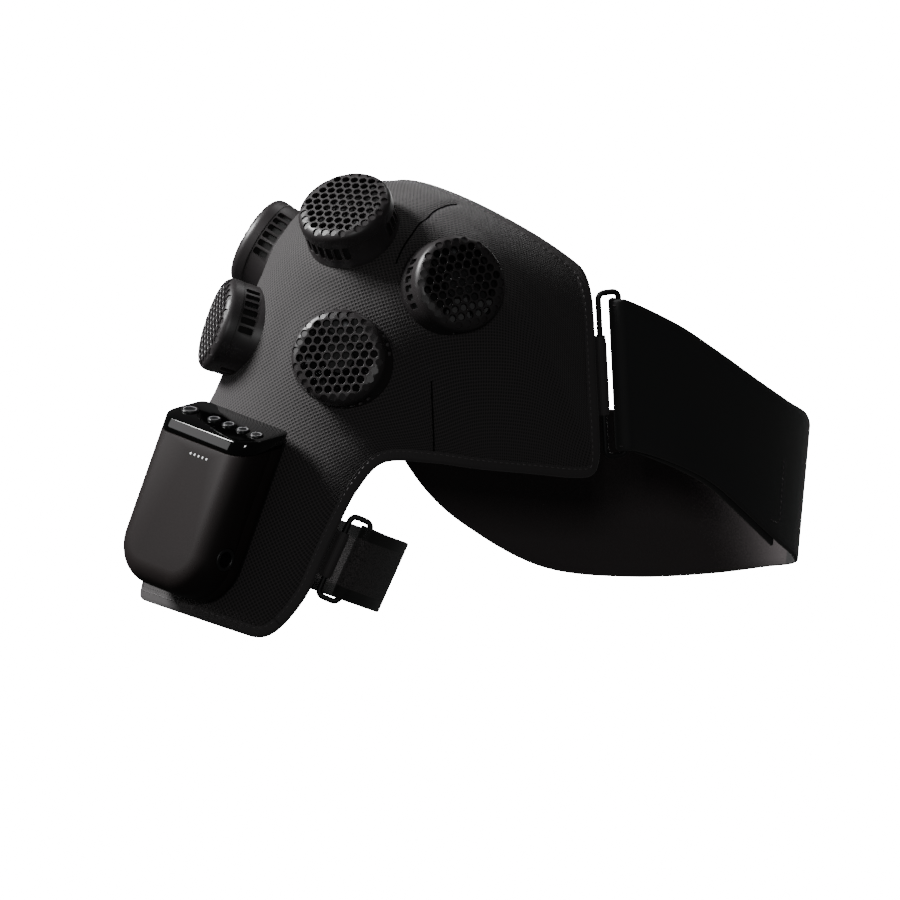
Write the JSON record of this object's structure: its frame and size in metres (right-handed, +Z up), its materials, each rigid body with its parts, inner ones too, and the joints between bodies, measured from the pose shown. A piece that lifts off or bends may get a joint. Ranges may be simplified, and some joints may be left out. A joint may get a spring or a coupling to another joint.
{
  "type": "wearable hot cold therapy machine",
  "caption": "Moulded fabric shoulder wrap with fan-cooled thermal pods, a battery pack with a button panel, and ring-fastened chest and arm straps.",
  "frame": {"origin": "centre of the wearer's shoulder joint, under the wrap's cup", "axes": "+Z up the standing wearer, -Y to the wearer's front, -X outwards from the arm, +X towards the neck"},
  "size_m": [0.4263, 0.1971, 0.2748],
  "materials": {
    "shell_fabric": "fine woven polyester over foam, matt",
    "lining_fabric": "brushed lining, matt",
    "binding_tape": "ribbed nylon tape",
    "strap_neoprene": "smooth laminated neoprene, matt",
    "strap_elastic": "ribbed elastic webbing",
    "ring_nylon": "moulded nylon, satin",
    "pack_plastic": "fine texture, satin",
    "panel_gloss": "polished",
    "button_plastic": "smooth",
    "light_guide": "clear, frosted",
    "cap_plastic": "fine texture, satin",
    "fan_plastic": "satin",
    "bare_aluminium": "satin",
    "ceramic": "fine ground ceramic",
    "circuit_board": "solder resist",
    "cell_wrap": "shrink sleeve",
    "socket_metal": "plated"
  },
  "bodies": {
    "wrap": {"outer_shell": "shell_fabric", "inner_liner": "lining_fabric", "edge_binding": "binding_tape", "pod_cap_1": "cap_plastic", "fan_frame_1": "fan_plastic", "heat_sink_1": "bare_aluminium", "thermoelectric_plate_1": "ceramic", "contact_plate_1": "bare_aluminium", "pod_cap_2": "cap_plastic", "fan_frame_2": "fan_plastic", "heat_sink_2": "bare_aluminium", "thermoelectric_plate_2": "ceramic", "contact_plate_2": "bare_aluminium", "pod_cap_3": "cap_plastic", "fan_frame_3": "fan_plastic", "heat_sink_3": "bare_aluminium", "thermoelectric_plate_3": "ceramic", "contact_plate_3": "bare_aluminium", "pod_cap_4": "cap_plastic", "fan_frame_4": "fan_plastic", "heat_sink_4": "bare_aluminium", "thermoelectric_plate_4": "ceramic", "contact_plate_4": "bare_aluminium", "pod_cap_5": "cap_plastic", "fan_frame_5": "fan_plastic", "heat_sink_5": "bare_aluminium", "thermoelectric_plate_5": "ceramic", "contact_plate_5": "bare_aluminium", "chest_strap": "strap_neoprene", "arm_strap": "strap_elastic", "chest_ring_keeper": "binding_tape", "arm_ring_keeper": "binding_tape", "pack_front_shell": "pack_plastic", "pack_rear_shell": "pack_plastic", "control_panel": "panel_gloss", "light_guide": "light_guide", "switch_board": "circuit_board", "circuit_board": "circuit_board", "battery_cell_left": "cell_wrap", "battery_cell_right": "cell_wrap", "charging_socket": "socket_metal", "pack_backing_plate": "ring_nylon"},
    "fan_1": {"fan_rotor_1": "fan_plastic"},
    "fan_2": {"fan_rotor_2": "fan_plastic"},
    "fan_3": {"fan_rotor_3": "fan_plastic"},
    "fan_4": {"fan_rotor_4": "fan_plastic"},
    "fan_5": {"fan_rotor_5": "fan_plastic"},
    "button_1": {"button_1": "button_plastic"},
    "button_2": {"button_2": "button_plastic"},
    "button_3": {"button_3": "button_plastic"},
    "button_4": {"button_4": "button_plastic"},
    "button_5": {"button_5": "button_plastic"},
    "chest_ring": {"chest_ring": "ring_nylon"},
    "arm_ring": {"arm_ring": "ring_nylon"}
  },
  "joints": [
    {"name": "fan_spin_1", "type": "hinge", "parent": "wrap", "child": "fan_1", "pos_m": [-0.02964, -0.01097, 0.07074], "axis": [-0.4787, -0.1294, 0.8684], "continuous": true},
    {"name": "fan_spin_2", "type": "hinge", "parent": "wrap", "child": "fan_2", "pos_m": [-0.00554, 0.06802, 0.03487], "axis": [-0.3658, 0.8392, 0.4025], "continuous": true},
    {"name": "fan_spin_3", "type": "hinge", "parent": "wrap", "child": "fan_3", "pos_m": [-0.05931, 0.0354, 0.01278], "axis": [-0.7585, 0.5476, 0.3532], "continuous": true},
    {"name": "fan_spin_4", "type": "hinge", "parent": "wrap", "child": "fan_4", "pos_m": [-0.05702, -0.03569, 0.01377], "axis": [-0.7586, -0.5153, 0.3988], "continuous": true},
    {"name": "fan_spin_5", "type": "hinge", "parent": "wrap", "child": "fan_5", "pos_m": [-0.01034, -0.06037, 0.04788], "axis": [-0.2867, -0.8736, 0.3934], "continuous": true},
    {"name": "button_press_1", "type": "slide", "parent": "wrap", "child": "button_1", "axis": [0.0086, 0.0458, -0.9989], "range_m": [0, 0.0006], "stiffness_N_per_m": 600, "springref_m": -0.0003},
    {"name": "button_press_2", "type": "slide", "parent": "wrap", "child": "button_2", "axis": [0.0086, 0.0458, -0.9989], "range_m": [0, 0.0006], "stiffness_N_per_m": 600, "springref_m": -0.0003},
    {"name": "button_press_3", "type": "slide", "parent": "wrap", "child": "button_3", "axis": [0.0086, 0.0458, -0.9989], "range_m": [0, 0.0006], "stiffness_N_per_m": 600, "springref_m": -0.0003},
    {"name": "button_press_4", "type": "slide", "parent": "wrap", "child": "button_4", "axis": [0.0086, 0.0458, -0.9989], "range_m": [0, 0.0006], "stiffness_N_per_m": 600, "springref_m": -0.0003},
    {"name": "button_press_5", "type": "slide", "parent": "wrap", "child": "button_5", "axis": [0.0086, 0.0458, -0.9989], "range_m": [0, 0.0006], "stiffness_N_per_m": 600, "springref_m": -0.0003},
    {"name": "chest_ring_swing", "type": "hinge", "parent": "wrap", "child": "chest_ring", "pos_m": [0.06708, -0.08885, -0.00681], "axis": [0.031, 0.1115, 0.9933], "range_deg": [-5, 5]},
    {"name": "arm_ring_swing", "type": "hinge", "parent": "wrap", "child": "arm_ring", "pos_m": [-0.07662, -0.04963, -0.07966], "axis": [0.4429, -0.1171, 0.8889], "range_deg": [-5, 5]}
  ]
}
